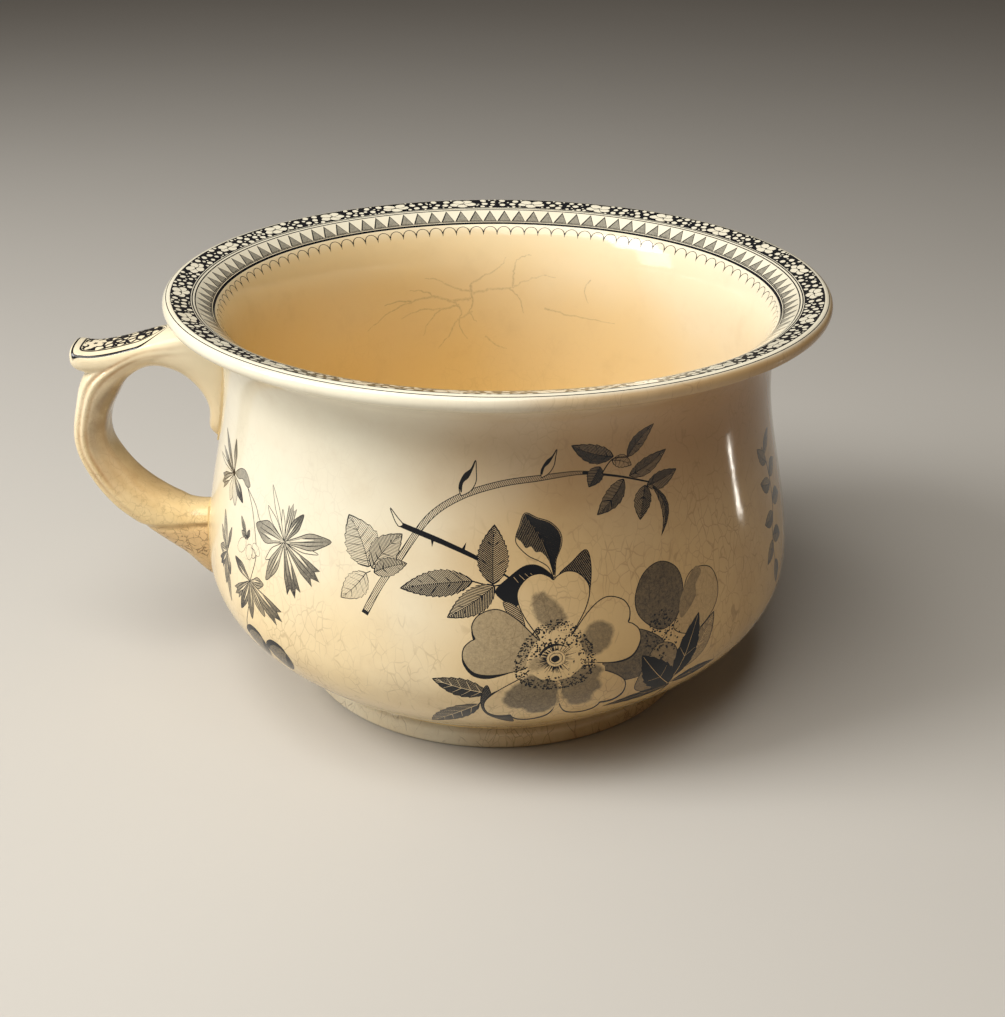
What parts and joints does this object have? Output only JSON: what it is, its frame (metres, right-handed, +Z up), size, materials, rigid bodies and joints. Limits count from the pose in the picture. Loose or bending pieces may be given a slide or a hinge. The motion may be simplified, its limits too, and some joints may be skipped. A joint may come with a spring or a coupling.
{
  "type": "chamber pot",
  "caption": "Bellied earthenware chamber pot with an everted beaded rim, a low foot ring and one moulded loop handle with a thumb rest, cream glaze with a slate-blue printed border and flowers",
  "frame": {"origin": "Centre of the foot ring on the plane the pot stands on", "axes": "+Z up through the mouth, handle toward -X, +Y to the back"},
  "size_m": [0.2669, 0.229, 0.146],
  "materials": {
    "bowl_glaze": "gloss, crazed",
    "handle_glaze": "gloss, crazed",
    "foot_glaze": "gloss, crazed, worn where it stands",
    "slip": "gloss"
  },
  "bodies": {
    "root": {"bowl": "bowl_glaze", "foot_ring": "foot_glaze", "foot_slip_joint": "slip", "handle": "handle_glaze", "handle_upper_slip_joint": "slip", "handle_lower_slip_joint": "slip"}
  },
  "joints": []
}
